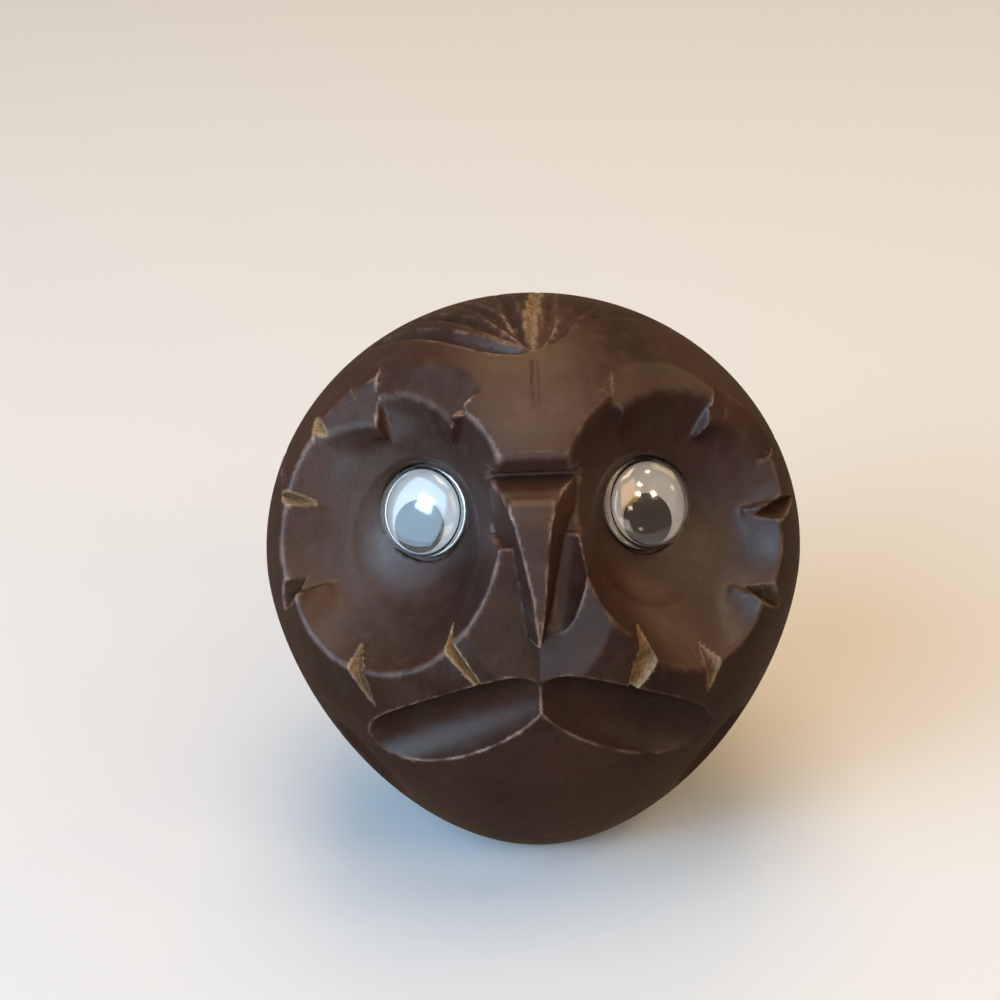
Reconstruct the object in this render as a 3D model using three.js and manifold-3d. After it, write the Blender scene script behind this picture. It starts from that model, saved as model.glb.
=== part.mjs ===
// A small carved owl figurine: one egg-shaped piece of wood with two bowl-shaped eye dishes and
// two round plastic eyes set in bores. Millimetres, +Z up, the face looks along -Y, and the
// origin is in the middle of the flat underside.
import * as THREE from "three";
import { ConvexGeometry } from "three/addons/geometries/ConvexGeometry.js";
import { mergeVertices } from "three/addons/utils/BufferGeometryUtils.js";
import Module from "manifold-3d";

const wasm = await Module();
wasm.setup();

// The egg: widest a little above its middle, a true ellipsoid above that level and a fuller,
// slightly pointed curve below it, cut off flat at z = 0.
const EGG = { halfWidth: 37.3, halfDepth: 34, widestAt: 42.8, rise: 35.9, drop: 48.6 };
const RISE_POWER = 2;
const DROP_POWER = 1.68;
const EGG_SIDES = 44;
const EGG_RISE_STEPS = 9;
const EGG_DROP_STEPS = 10;

// The eye dishes. Angles round a rim run from the beak (0) over the top (90) to the outside (180).
const RIM = { across: 19.3, forward: 19.3, height: 56.3, yaw: 39, pitch: 27 };
// A dish's floor: radius in the rim plane, depth, how far out it is left plain. Outside that an apron
// of scallops climbs to the rim.
const BOWL = { radius: 22.5, depth: 7.6, plain: 12.5 };
const FLOOR_RADII = [6, 11.2];
const APRON_LEVELS = [-2.9, 7];
const SCALLOP_STEP = 9;
const TOOTH_GAP = 0.25;
// Each scallop of a rim: from angle and radius, to angle and radius, bulge between them.
const LEFT_SCALLOPS = [
  [24, 18.8, 72, 22.6, 1.1],
  [72, 18.3, 117, 27.0, -0.3],
  [117, 16.1, 149, 20.4, 0.1],
  [149, 20.5, 177, 18.6, -0.2],
  [177, 17.0, 223, 17.9, 0.6],
  [223, 15.2, 268, 18.9, 1.3],
  [268, 18.5, 327, 16.9, 0],
  [327, 16.7, 384, 18.4, 0.2],
];
const RIGHT_SCALLOPS = [
  [22, 19.0, 80, 22.9, 0.9],
  [80, 18.9, 131, 20.0, 1.6],
  [131, 15.0, 187, 16.2, 4.6],
  [187, 14.4, 236, 15.2, 1.0],
  [236, 14.4, 281, 21.2, 0.3],
  [281, 20.8, 324, 16.7, -0.3],
  [324, 16.2, 382, 17.8, -0.2],
];
// Each V-cut across a rim: outer end on the egg (angle and radius), inner end on the dish wall
// (angle, radius and level), width.
const LEFT_NOTCHES = [
  [80, 21.6, 71, 19.8, -0.7, 1.1],
  [129, 21.8, 124, 18.6, -1.0, 0.9],
  [148, 21.6, 146, 18.0, -1.2, 1.7],
  [179, 19.7, 178, 15.8, -2.4, 1.7],
  [224, 21.1, 219, 17.2, -2.4, 1.9],
  [276, 22.3, 265, 15.4, -2.4, 1.8],
  [320.5, 24.4, 327, 13.7, -2.4, 1.15],
];
const RIGHT_NOTCHES = [
  [86, 22.4, 80, 19.4, -0.7, 1.1],
  [138, 19.6, 141, 17.6, -1.4, 1.1],
  [188, 22.0, 191, 15.7, -2.4, 1.9],
  [232, 20.1, 233, 14.6, -1.9, 2.3],
  [275, 22.0, 275, 14.2, -2.0, 2.4],
  [308.5, 23.9, 316, 12.8, -3.0, 2.7],
];
const NOTCH_SINK = 0.2;
const NOTCH_RUNOUT = 0.8;
const NOTCH_ABOVE = 2;
// A level behind both rim planes and inside the egg, and how far in front of the egg a cutter starts.
const INSIDE_LEVEL = -12;
const CLEAR = 2;

// The facets pared off the upper rims: two ends of the crease on the egg and the place of the new rim
// (angles and radii), how deep the paring is there, the angles that it runs between.
const LEFT_PARINGS = [
  [121, 23.3, 103, 22.9, 110, 20.0, 1.15, 103, 117],
  [103, 22.9, 87, 23.8, 90, 20.0, 1.15, 74, 103],
  [145, 20.0, 125, 21.4, 131, 17.0, 2.2, 117, 150],
];
const RIGHT_PARINGS = [
  [87, 22.3, 114, 21.5, 100, 19.3, 1.2, 79, 131],
  [131, 20.4, 158, 21.0, 145, 17.0, 2.1, 131, 168],
];
const PARING_BLOCK = { inner: 12, outer: 32, height: 14 };

// The deeper hollow round each eye, the bore it sits in and the eye itself.
const EYE = { leftAcross: 14.9, rightAcross: 15.4, forward: 12.8, height: 56.5, yaw: 28, pitch: 29 };
const HOLLOW = { yaw: 25, pitch: 29, out: 11.6, inwards: 1.0, wide: 10.8, high: 14, deep: 11.8 };
const BORE = { radius: 6.6, depth: 2.3, reach: 9 };
const DISC = { radius: 6, thickness: 0.8, edge: 0.15 };
const DOME = { radius: 6, wall: 1.1, crown: 1.9 };
const DOME_STEPS = 5;
const GAP = 0.3;

// Brow, beak and cheeks.
// The brow's underside slopes back from its edge on the egg to a slot above the beak: [y, z] points.
const BROW = { edge: [-22.56, 69.6], back: [-21.6, 66.7], halfWidth: 7.4, rise: 3.5 };
const SLOT = { back: -20, top: 66.6, foot: 65.3, front: -34 };
const BEAK_PROUD = 0.35;
// Levels of the beak from tip to top: height, half widths and flares of its left and right side, how
// far back from the egg its front is.
const BEAK_LEVELS = [
  [48.2, 0.25, 0.25, 27, 14, -BEAK_PROUD],
  [54.3, 0.8, 1.1, 27, 14, -BEAK_PROUD],
  [59.3, 1.9, 1.6, 27, 20, -BEAK_PROUD],
  [62.5, 2.7, 2.1, 27, 27, -BEAK_PROUD],
  [63.7, 3.0, 2.3, 27, 27, -BEAK_PROUD],
  [65.6, 3.4, 2.6, 27, 27, 1.7],
];
// The ridge that the beak stands on.
const RIDGE = { half: 4.8, flare: 8, depth: 14 };
const CHEEK = { apex: [4.62, -28.44, 59.61], outer: [8.35, -31.6, 51.5], inner: [0.7, -31.6, 47.3] };
// The upright limits of a cheek facet, and how far out from the middle it reaches at each.
const CHEEK_TOP = { z: 66.4, reach: 6.0 };
const CHEEK_FOOT = { z: 39, reach: 12.6 };
const CHEEK_RAISE = 12;
// How far behind the egg the wood beside the upper beak is cut back.
const BEAK_SIDE_DEPTH = 6;
// The gouge down the right side of the beak: ends of its middle line on the egg, half width and depth.
const CHANNEL = { top: [4.9, 66], foot: [2.2, 48.4], halfWidth: 2.9, depth: 3.6 };

// The pair of scoops under the face, which leave a ridge between them and a lip above.
const SCOOP = { across: 12.5, forward: 30.6, height: 34.1, yaw: 28, pitch: -38, out: 0.9 };
const SCOOP_ALONG = [0.8, 0.36, -0.52];
const SCOOP_HALF = [20.5, 5.4, 5.2];

// Surface cuts are V-shaped and follow the egg. Crown flutes fan out from the forehead.
const CROWN_APEX = { x: 0.6, y: -8.5 };
// Each flute: heading at its start and at its end (degrees from straight back, positive to the right),
// where it starts and ends, width, depth.
const CROWN_FLUTES = [
  [-8, 3, 0.4, 24, 1.5, 0.6],
  [-32, -11, 0.6, 24, 2.2, 0.85],
  [-33, -28, 2.5, 22, 2.0, 0.65],
  [-46, -42, 3, 27, 2.2, 0.75],
  [-88, -55, 0.8, 28, 2.7, 1.0],
  [40, 9, 0.6, 22, 1.8, 0.75],
  [52, 31, 2.5, 17, 2.0, 0.5],
  [36, 44, 9, 26, 2.0, 0.4],
  [176, 179, 0.3, 9, 1.2, 0.2],
];
// The neck line: heights at its front ends and at the middle of the back.
const NECK = { startYaw: 79, side: 57.6, back: 50, width: 2.2, depth: 0.85 };
// The wing's lower front edge, a wide cut, and the wing's outline and feathers.
const WING_CUT = { yaw: 55, pitch: -39, out: 3.1, lean: 0.2, half: [6.2, 12.5, 5] };
const WING = { frontYaw: 74, rearYaw: 150, top: 52, tipYaw: 118, tip: 13, width: 2.4, depth: 0.9 };
const WING_FEATHERS = 3;
// The feather cuts start lower than the wing's edge, and each a little lower and end a little higher.
const FEATHER = { drop: 9, fall: 6, lift: 2, width: 0.8, depth: 0.7 };
const TAIL_CUTS = 3;
const TAIL = { spread: 19, narrow: 0.45, top: 23, foot: 3, width: 2.2, depth: 0.8 };
const CUT_STEPS = 8;
const NECK_STEPS = 14;
// How full a cut is at its very ends, and how fast it deepens from them.
const CUT_START = 0.06;
const CUT_SWELL = 2.2;
const PATH_STEP = 0.02;

const DEG = Math.PI / 180;
const CURVE_SIDES = 32;
const FINE_SIDES = 18;
const EYE_SIDES = 28;

const vec = (x, y, z) => new THREE.Vector3(x, y, z);

// A direction given by its yaw from straight ahead (-Y), positive to +X, and its pitch.
function direction(yaw, pitch) {
  const level = Math.cos(pitch * DEG);
  return vec(Math.sin(yaw * DEG) * level, -Math.cos(yaw * DEG) * level, Math.sin(pitch * DEG));
}

// Right, up and outward axes of the plane that faces along a direction.
function axesOf(outward) {
  const right = vec(0, 0, 1).cross(outward).normalize();
  return { right, up: outward.clone().cross(right), out: outward.clone() };
}

// How far round an upright section of the egg a level lies: 1 at the widest level, 0 at an end.
function eggShare(z) {
  const above = z > EGG.widestAt;
  const power = above ? RISE_POWER : DROP_POWER;
  const share = Math.abs(z - EGG.widestAt) / (above ? EGG.rise : EGG.drop);
  return Math.pow(Math.max(1 - Math.pow(share, power), 0), 1 / power);
}

// The point of the egg at a height, on the side that a yaw points to.
function eggAt(yaw, z) {
  const share = eggShare(z);
  return vec(Math.sin(yaw * DEG) * EGG.halfWidth * share, -Math.cos(yaw * DEG) * EGG.halfDepth * share, z);
}

// Below zero inside the egg, above zero outside it.
function eggSide(p) {
  const above = p.z > EGG.widestAt;
  const power = above ? RISE_POWER : DROP_POWER;
  const across = Math.hypot(p.x / EGG.halfWidth, p.y / EGG.halfDepth);
  const along = Math.abs(p.z - EGG.widestAt) / (above ? EGG.rise : EGG.drop);
  return Math.pow(across, power) + Math.pow(along, power) - 1;
}

// Where a line from a point inside, or a little outside, leaves the egg.
function leaveEgg(from, along) {
  let low = -30;
  let high = 80;
  for (let i = 0; i < 50; i++) {
    const middle = (low + high) / 2;
    if (eggSide(from.clone().addScaledVector(along, middle)) < 0) low = middle;
    else high = middle;
  }
  return from.clone().addScaledVector(along, low);
}

// The egg's outward direction at a point of its surface.
function eggNormal(p) {
  const step = 1e-3;
  const slope = (x, y, z) => eggSide(vec(p.x + x, p.y + y, p.z + z)) - eggSide(vec(p.x - x, p.y - y, p.z - z));
  return vec(slope(step, 0, 0), slope(0, step, 0), slope(0, 0, step)).normalize();
}

// A closed geometry as a solid that can be joined and cut.
function solidOf(geometry, matrix) {
  const bare = geometry.clone();
  bare.deleteAttribute("normal");
  bare.deleteAttribute("uv");
  if (matrix) bare.applyMatrix4(matrix);
  const merged = mergeVertices(bare, 1e-4);
  const corners = merged.index.array;
  const kept = [];
  for (let i = 0; i < corners.length; i += 3) {
    const [a, b, c] = [corners[i], corners[i + 1], corners[i + 2]];
    if (a !== b && b !== c && c !== a) kept.push(a, b, c);
  }
  const make = (triVerts) =>
    new wasm.Manifold(
      new wasm.Mesh({ numProp: 3, vertProperties: merged.attributes.position.array, triVerts }),
    );
  const made = make(new Uint32Array(kept));
  return made.volume() < 0 ? make(new Uint32Array(kept.reverse())) : made;
}

// A solid as a mesh's geometry.
function geometryOf(solid) {
  const mesh = solid.getMesh();
  const positions = new Float32Array(mesh.numVert * 3);
  for (let i = 0; i < mesh.numVert; i++) {
    positions.set(mesh.vertProperties.subarray(i * mesh.numProp, i * mesh.numProp + 3), i * 3);
  }
  const geometry = new THREE.BufferGeometry();
  geometry.setAttribute("position", new THREE.BufferAttribute(positions, 3));
  geometry.setIndex(new THREE.BufferAttribute(new Uint32Array(mesh.triVerts), 1));
  geometry.computeVertexNormals();
  return geometry;
}

// The matrix that sends local X, Y and Z to three directions and the local origin to a place.
function frameAt(place, x, y, z) {
  return new THREE.Matrix4().makeBasis(x, y, z).setPosition(place);
}

// An ellipsoid with half sizes along three directions.
function ellipsoid(place, axes, halfSizes, sides = CURVE_SIDES) {
  const geometry = new THREE.SphereGeometry(1, sides, Math.round(sides * 0.6));
  geometry.scale(...halfSizes);
  return solidOf(geometry, frameAt(place, ...axes));
}

// A turned shape: its profile's [radius, height] points round the given axis.
function turned(points, place, axis, sides) {
  const profile = points.map(([radius, height]) => new THREE.Vector2(radius, height));
  const { right, up } = axesOf(axis);
  return solidOf(new THREE.LatheGeometry(profile, sides), frameAt(place, right, axis, up.negate()));
}

// The convex solid round a set of corners.
function hullOf(corners) {
  return solidOf(new ConvexGeometry(corners));
}

// One eye dish: where it is, its axes and the point of its rim plane at an angle and radius.
function dishOf(side) {
  const { right, up, out } = axesOf(direction(side * RIM.yaw, RIM.pitch));
  const centre = vec(side * RIM.across, -RIM.forward, RIM.height);
  const at = (angle, radius, level = 0) =>
    centre
      .clone()
      .addScaledVector(right, -side * Math.cos(angle * DEG) * radius)
      .addScaledVector(up, Math.sin(angle * DEG) * radius)
      .addScaledVector(out, level);
  return { side, right, up, out, centre, at };
}

// The scalloped outline of a dish in its rim plane, as [angle, radius] points.
function outlineOf(scallops) {
  return scallops.flatMap(([from, fromRadius, to, toRadius, bulge]) => {
    const steps = Math.ceil((to - from) / SCALLOP_STEP);
    return Array.from({ length: steps + 1 }, (_, i) => {
      const share = i / steps;
      const radius = fromRadius + (toRadius - fromRadius) * share + 4 * bulge * share * (1 - share);
      return [from + TOOTH_GAP + (to - from - 2 * TOOTH_GAP) * share, radius];
    });
  });
}

// A closed solid between a lowest point, rings of as many points each, and a highest point.
function solidOfRings(lowest, rings, highest) {
  const points = [lowest, ...rings.flat(), highest];
  const count = rings[0].length;
  const corners = [];
  for (let i = 0; i < count; i++) {
    const next = (i + 1) % count;
    corners.push(0, 1 + next, 1 + i);
    for (let ring = 0; ring < rings.length - 1; ring++) {
      const low = 1 + ring * count;
      const high = low + count;
      corners.push(low + i, low + next, high + next, low + i, high + next, high + i);
    }
    const last = 1 + (rings.length - 1) * count;
    corners.push(last + i, last + next, points.length - 1);
  }
  const geometry = new THREE.BufferGeometry().setFromPoints(points);
  geometry.setIndex(corners);
  return solidOf(geometry);
}

// A whole dish: its floor, the apron of scallops and the steeper hollow round the eye.
function dishCutter(dish, scallops) {
  const ball = (BOWL.radius * BOWL.radius + BOWL.depth * BOWL.depth) / (2 * BOWL.depth);
  const floorLevel = (radius) => ball - BOWL.depth - Math.sqrt(ball * ball - radius * radius);
  const plainLevel = floorLevel(BOWL.plain);
  const outline = outlineOf(scallops);
  const rings = FLOOR_RADII.map((radius) => outline.map(([angle]) => dish.at(angle, radius, floorLevel(radius))));
  for (const level of APRON_LEVELS) {
    const rise = 1 - level / plainLevel;
    rings.push(outline.map(([angle, rim]) => dish.at(angle, BOWL.plain + (rim - BOWL.plain) * rise, level)));
  }
  const lowest = dish.at(0, 0, -BOWL.depth);
  const highest = dish.at(0, 0, APRON_LEVELS[APRON_LEVELS.length - 1]);
  const { right, up, out } = axesOf(direction(dish.side * HOLLOW.yaw, HOLLOW.pitch));
  const centre = eyeCentre(dish.side)
    .addScaledVector(out, HOLLOW.out)
    .addScaledVector(dish.right, -dish.side * HOLLOW.inwards);
  const hollow = ellipsoid(centre, [right, up, out], [HOLLOW.wide, HOLLOW.high, HOLLOW.deep], FINE_SIDES);
  return solidOfRings(lowest, rings, highest).add(hollow);
}

// The egg's point over a place in a dish's rim plane.
function onEgg(dish, angle, radius) {
  return leaveEgg(dish.at(angle, radius, INSIDE_LEVEL), dish.out);
}

// A V-cut across the rim: a wedge whose sharp edge is the cut's bottom.
function notchCutter(dish, [outAngle, outRadius, inAngle, inRadius, inLevel, width]) {
  const start = onEgg(dish, outAngle, outRadius);
  const end = dish.at(inAngle, inRadius, inLevel);
  const along = end.clone().sub(start).normalize();
  const outwards = dish.out.clone().addScaledVector(along, -dish.out.dot(along)).normalize();
  const across = outwards.clone().cross(along);
  const middle = start.clone().add(end).multiplyScalar(0.5);
  const depth = NOTCH_SINK + leaveEgg(middle, outwards).distanceTo(middle);
  const height = depth + NOTCH_ABOVE;
  const corners = [];
  for (const [place, run] of [[start, -NOTCH_RUNOUT], [end, NOTCH_RUNOUT]]) {
    const bottom = place.clone().addScaledVector(along, run).addScaledVector(outwards, -NOTCH_SINK);
    corners.push(bottom);
    for (const side of [-1, 1]) {
      const top = bottom.clone().addScaledVector(outwards, height);
      corners.push(top.addScaledVector(across, (side * width * height) / (2 * depth)));
    }
  }
  return hullOf(corners);
}

// A flat facet pared off an upper rim: all that stands above a plane, between two angles.
function paringCutter(dish, [fromAngle, fromRadius, toAngle, toRadius, rimAngle, rimRadius, depth, low, high]) {
  const from = onEgg(dish, fromAngle, fromRadius);
  const to = onEgg(dish, toAngle, toRadius);
  const rim = onEgg(dish, rimAngle, rimRadius);
  rim.addScaledVector(eggNormal(rim), -depth);
  const normal = to.sub(from).cross(rim.sub(from));
  const corners = [];
  for (const angle of [low, high]) {
    for (const radius of [PARING_BLOCK.inner, PARING_BLOCK.outer]) {
      const base = dish.at(angle, radius);
      base.addScaledVector(dish.out, from.clone().sub(base).dot(normal) / dish.out.dot(normal));
      corners.push(base, base.clone().addScaledVector(dish.out, PARING_BLOCK.height));
    }
  }
  return hullOf(corners);
}

function eyeCentre(side) {
  return vec(side < 0 ? -EYE.leftAcross : EYE.rightAcross, -EYE.forward, EYE.height);
}

// A turned piece on an eye's axis, its heights measured from the middle of the dish floor.
function onEyeAxis(side, points, sides) {
  return turned(points, eyeCentre(side), direction(side * EYE.yaw, EYE.pitch), sides);
}

function boreCutter(side) {
  const profile = [[0, -BORE.depth], [BORE.radius, -BORE.depth], [BORE.radius, BORE.reach], [0, BORE.reach]];
  return onEyeAxis(side, profile, CURVE_SIDES);
}

// The white disc at the back of an eye.
function eyeDisc(side) {
  const low = -BORE.depth + GAP;
  const high = low + DISC.thickness;
  const inset = DISC.radius - DISC.edge;
  return onEyeAxis(
    side,
    [[0, low], [inset, low], [DISC.radius, low + DISC.edge], [DISC.radius, high], [0, high]],
    EYE_SIDES,
  );
}

// The clear dome in front of the disc: a short upright wall and a round crown.
function eyeDome(side) {
  const low = -BORE.depth + GAP + DISC.thickness + GAP;
  const shoulder = low + DOME.wall;
  const points = [[0, low], [DOME.radius, low]];
  const steps = DOME_STEPS;
  for (let i = 0; i < steps; i++) {
    const angle = (Math.PI / 2) * (i / steps);
    points.push([DOME.radius * Math.cos(angle), shoulder + DOME.crown * Math.sin(angle)]);
  }
  points.push([0, shoulder + DOME.crown]);
  return onEyeAxis(side, points, EYE_SIDES);
}

// The whole egg, turned from its upright section and narrowed front to back.
function eggSolid() {
  const levels = [];
  for (let i = 0; i <= EGG_DROP_STEPS; i++) {
    const share = i / EGG_DROP_STEPS;
    levels.push(EGG.widestAt * Math.sin((share * Math.PI) / 2));
  }
  for (let i = 1; i <= EGG_RISE_STEPS; i++) {
    levels.push(EGG.widestAt + EGG.rise * Math.sin(((i / EGG_RISE_STEPS) * Math.PI) / 2));
  }
  const points = levels.map((z) => [EGG.halfWidth * eggShare(z), z]);
  points.unshift([0, 0]);
  const profile = points.map(([radius, z]) => new THREE.Vector2(radius, z));
  const geometry = new THREE.LatheGeometry(profile, EGG_SIDES);
  geometry.rotateX(Math.PI / 2);
  geometry.scale(1, EGG.halfDepth / EGG.halfWidth, 1);
  return solidOf(geometry);
}

// The beak stands on the ridge between the dishes: a tapering wedge with a slanted top edge.
function beakSolid() {
  const ridgeSpread = Math.tan(RIDGE.flare * DEG);
  const corners = BEAK_LEVELS.map(([z, leftHalf, rightHalf, leftFlare, rightFlare, setBack]) => {
    const egg = -EGG.halfDepth * eggShare(z);
    return [[-1, leftHalf, leftFlare], [1, rightHalf, rightFlare]].flatMap(([side, half, flare]) => {
      const spread = Math.tan(flare * DEG);
      const bend = (RIDGE.half - half) / (spread - ridgeSpread);
      return [
        vec(side * (half + setBack * spread), egg + setBack, z),
        vec(side * (half + bend * spread), egg + bend, z),
        vec(side * (RIDGE.half + RIDGE.depth * ridgeSpread), egg + RIDGE.depth, z),
      ];
    });
  });
  return corners
    .slice(1)
    .map((level, i) => hullOf([...corners[i], ...level]))
    .reduce((whole, slab) => whole.add(slab));
}

// The flat facet beside the beak, all that stands in front of the plane through three points, and the
// block above its apex.
function cheekCutter(side) {
  const [apex, outer, inner] = [CHEEK.apex, CHEEK.outer, CHEEK.inner].map(([x, y, z]) => vec(side * x, y, z));
  const normal = outer.clone().sub(apex).cross(inner.clone().sub(apex)).normalize();
  if (normal.y > 0) normal.negate();
  const onPlane = (x, z) => vec(x, apex.y - (normal.x * (x - apex.x) + normal.z * (z - apex.z)) / normal.y, z);
  const widening = (CHEEK_FOOT.reach - CHEEK_TOP.reach) / (CHEEK_TOP.z - CHEEK_FOOT.z);
  const reachAt = (z) => CHEEK_TOP.reach + widening * (CHEEK_TOP.z - z);
  const levels = [CHEEK_FOOT.z, CHEEK_TOP.z];
  const facet = levels.flatMap((z) => [onPlane(side * reachAt(z), z), onPlane(0, z)]);
  const raised = facet.map((p) => p.clone().addScaledVector(normal, CHEEK_RAISE));
  const block = [apex.z, CHEEK_TOP.z].flatMap((z) => {
    const egg = -EGG.halfDepth * eggShare(z);
    return [0, side * reachAt(z)].flatMap((x) => [vec(x, egg + BEAK_SIDE_DEPTH, z), vec(x, egg - CLEAR, z)]);
  });
  return hullOf([...facet, ...raised]).add(hullOf(block));
}

// The slanted underside of the brow and the slot between it and the beak.
function browCutter() {
  const [edgeY, edgeZ] = BROW.edge;
  const [backY, backZ] = BROW.back;
  const lean = (edgeY - backY) / (edgeZ - backZ);
  const outline = [
    [SLOT.back, SLOT.foot],
    [SLOT.back, SLOT.top],
    [backY, SLOT.top],
    [backY, backZ],
    [edgeY + BROW.rise * lean, edgeZ + BROW.rise],
    [SLOT.front, edgeZ + BROW.rise],
    [SLOT.front, SLOT.foot],
  ];
  const shape = new THREE.Shape(outline.map(([y, z]) => new THREE.Vector2(y, z)));
  const geometry = new THREE.ExtrudeGeometry(shape, { depth: 2 * BROW.halfWidth, bevelEnabled: false });
  return solidOf(geometry, frameAt(vec(-BROW.halfWidth, 0, 0), vec(0, 1, 0), vec(0, 0, 1), vec(1, 0, 0)));
}

// An ellipsoid whose first axis runs along a direction and whose third faces out of the wood.
function gougeCutter(place, along, outward, halfSizes, sides = CURVE_SIDES) {
  const first = along.clone().normalize();
  const out = outward.clone().addScaledVector(first, -outward.dot(first)).normalize();
  return ellipsoid(place, [first, out.clone().cross(first), out], halfSizes, sides);
}

function channelCutter() {
  const [top, foot] = [CHANNEL.top, CHANNEL.foot].map(([x, z]) => leaveEgg(vec(x, 0, z), vec(0, -1, 0)));
  const middle = top.clone().add(foot).multiplyScalar(0.5);
  const halfSizes = [top.distanceTo(foot) / 2, CHANNEL.halfWidth, CHANNEL.depth];
  return gougeCutter(middle, top.clone().sub(foot), eggNormal(middle), halfSizes, FINE_SIDES);
}

function scoopCutter(side) {
  const outward = direction(side * SCOOP.yaw, SCOOP.pitch);
  const along = vec(side * SCOOP_ALONG[0], SCOOP_ALONG[1], SCOOP_ALONG[2]).normalize();
  const out = outward.clone().addScaledVector(along, -outward.dot(along)).normalize();
  const place = vec(side * SCOOP.across, -SCOOP.forward, SCOOP.height).addScaledVector(out, SCOOP.out);
  return gougeCutter(place, along, out, SCOOP_HALF);
}

function wingFrontCutter(side) {
  const place = leaveEgg(vec(0, 0, EGG.widestAt), direction(side * WING_CUT.yaw, WING_CUT.pitch));
  const out = eggNormal(place);
  const upwards = vec(side * WING_CUT.lean, WING_CUT.lean, 1);
  const [wide, long, deep] = WING_CUT.half;
  return gougeCutter(place.addScaledVector(out, WING_CUT.out), upwards, out, [long, wide, deep]);
}

// A V-shaped cut that follows the egg along a path of surface points and runs out at its ends.
function surfaceCut(path, width, depth, steps = CUT_STEPS) {
  const geometry = new THREE.CylinderGeometry(1, 1, 1, 3, steps);
  geometry.deleteAttribute("normal");
  geometry.deleteAttribute("uv");
  const prism = mergeVertices(geometry, 1e-4);
  const positions = prism.attributes.position;
  for (let i = 0; i < positions.count; i++) {
    const share = Math.round((positions.getY(i) + 0.5) * steps) / steps;
    const centre = path(share);
    const ahead = path(Math.min(share + PATH_STEP, 1)).sub(path(Math.max(share - PATH_STEP, 0))).normalize();
    const out = eggNormal(centre);
    const across = ahead.cross(out).normalize();
    const fullness = Math.min(1, CUT_START + CUT_SWELL * Math.sqrt(share * (1 - share)));
    const radius = Math.hypot(positions.getX(i), positions.getZ(i));
    if (radius > 0.5) {
      const turn = Math.round((Math.atan2(positions.getX(i), positions.getZ(i)) * 3) / (2 * Math.PI));
      const bottom = turn === 0;
      centre.addScaledVector(out, bottom ? -depth * fullness : depth);
      centre.addScaledVector(across, bottom ? 0 : turn * width * 0.5 * (fullness + 1));
    }
    positions.setXYZ(i, centre.x, centre.y, centre.z);
  }
  return solidOf(prism);
}

// The fan of flutes on the crown, each bending outwards as it runs back.
function crownCuts() {
  return CROWN_FLUTES.map(([heading, endHeading, start, end, width, depth]) => {
    const path = (share) => {
      const angle = (endHeading + (heading - endHeading) * (1 - share) ** 3) * DEG;
      const run = start + (end - start) * share;
      const place = vec(CROWN_APEX.x + Math.sin(angle) * run, CROWN_APEX.y + Math.cos(angle) * run, EGG.widestAt);
      return leaveEgg(place, vec(0, 0, 1));
    };
    return surfaceCut(path, width, depth);
  });
}

// The neck line runs from behind one dish round the back to the other and dips in the middle.
function neckCut() {
  return surfaceCut(
    (share) => {
      const yaw = NECK.startYaw + (360 - 2 * NECK.startYaw) * share;
      const dip = Math.sin(share * Math.PI);
      return eggAt(yaw, NECK.side - (NECK.side - NECK.back) * dip * dip);
    },
    NECK.width,
    NECK.depth,
    NECK_STEPS,
  );
}

// The rear edge of a folded wing and the feather cuts beside it, which all run down to its tip.
function wingCuts(side) {
  const cuts = [];
  for (let i = 0; i <= WING_FEATHERS; i++) {
    const inset = i / (WING_FEATHERS + 1);
    const startYaw = WING.rearYaw + (WING.frontYaw - WING.rearYaw) * inset;
    const top = WING.top - FEATHER.fall * inset - (i ? FEATHER.drop : 0);
    const foot = WING.tip + FEATHER.lift * inset;
    const path = (share) => {
      const yaw = startYaw + (WING.tipYaw - startYaw) * share * share;
      return eggAt(side * yaw, top + (foot - top) * share);
    };
    cuts.push(surfaceCut(path, WING.width * (i ? FEATHER.width : 1), WING.depth * (i ? FEATHER.depth : 1)));
  }
  return cuts;
}

// Short upright cuts that part the tail feathers low on the back.
function tailCuts() {
  const cuts = [];
  for (let i = 0; i < TAIL_CUTS; i++) {
    const turn = (i / (TAIL_CUTS - 1)) * 2 - 1;
    const path = (share) => {
      const yaw = 180 + turn * TAIL.spread * (TAIL.narrow + (1 - TAIL.narrow) * share);
      return eggAt(yaw, TAIL.top + (TAIL.foot - TAIL.top) * share);
    };
    cuts.push(surfaceCut(path, TAIL.width, TAIL.depth));
  }
  return cuts;
}

// The whole carving, cut in the order a carver would work.
function carvedBody() {
  const dishes = [dishOf(-1), dishOf(1)];
  const sides = [-1, 1];
  let body = eggSolid();
  const take = (cutters) => cutters.forEach((cutter) => (body = body.subtract(cutter)));
  take(sides.map(cheekCutter));
  take(LEFT_PARINGS.map((paring) => paringCutter(dishes[0], paring)));
  take(RIGHT_PARINGS.map((paring) => paringCutter(dishes[1], paring)));
  take([dishCutter(dishes[0], LEFT_SCALLOPS), dishCutter(dishes[1], RIGHT_SCALLOPS)]);
  take([browCutter(), channelCutter()]);
  take(sides.map(scoopCutter));
  take(LEFT_NOTCHES.map((notch) => notchCutter(dishes[0], notch)));
  take(RIGHT_NOTCHES.map((notch) => notchCutter(dishes[1], notch)));
  body = body.add(beakSolid());
  take(sides.map(boreCutter));
  take(sides.map(wingFrontCutter));
  take(crownCuts());
  take([neckCut()]);
  take(sides.flatMap(wingCuts));
  take(tailCuts());
  return body;
}

// A named mesh with its own plain material.
function meshOf(name, solid, colour, roughness, extra = {}) {
  const material = new THREE.MeshStandardMaterial({ color: colour, roughness, metalness: 0, ...extra });
  const mesh = new THREE.Mesh(geometryOf(solid), material);
  mesh.name = name;
  return mesh;
}

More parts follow.
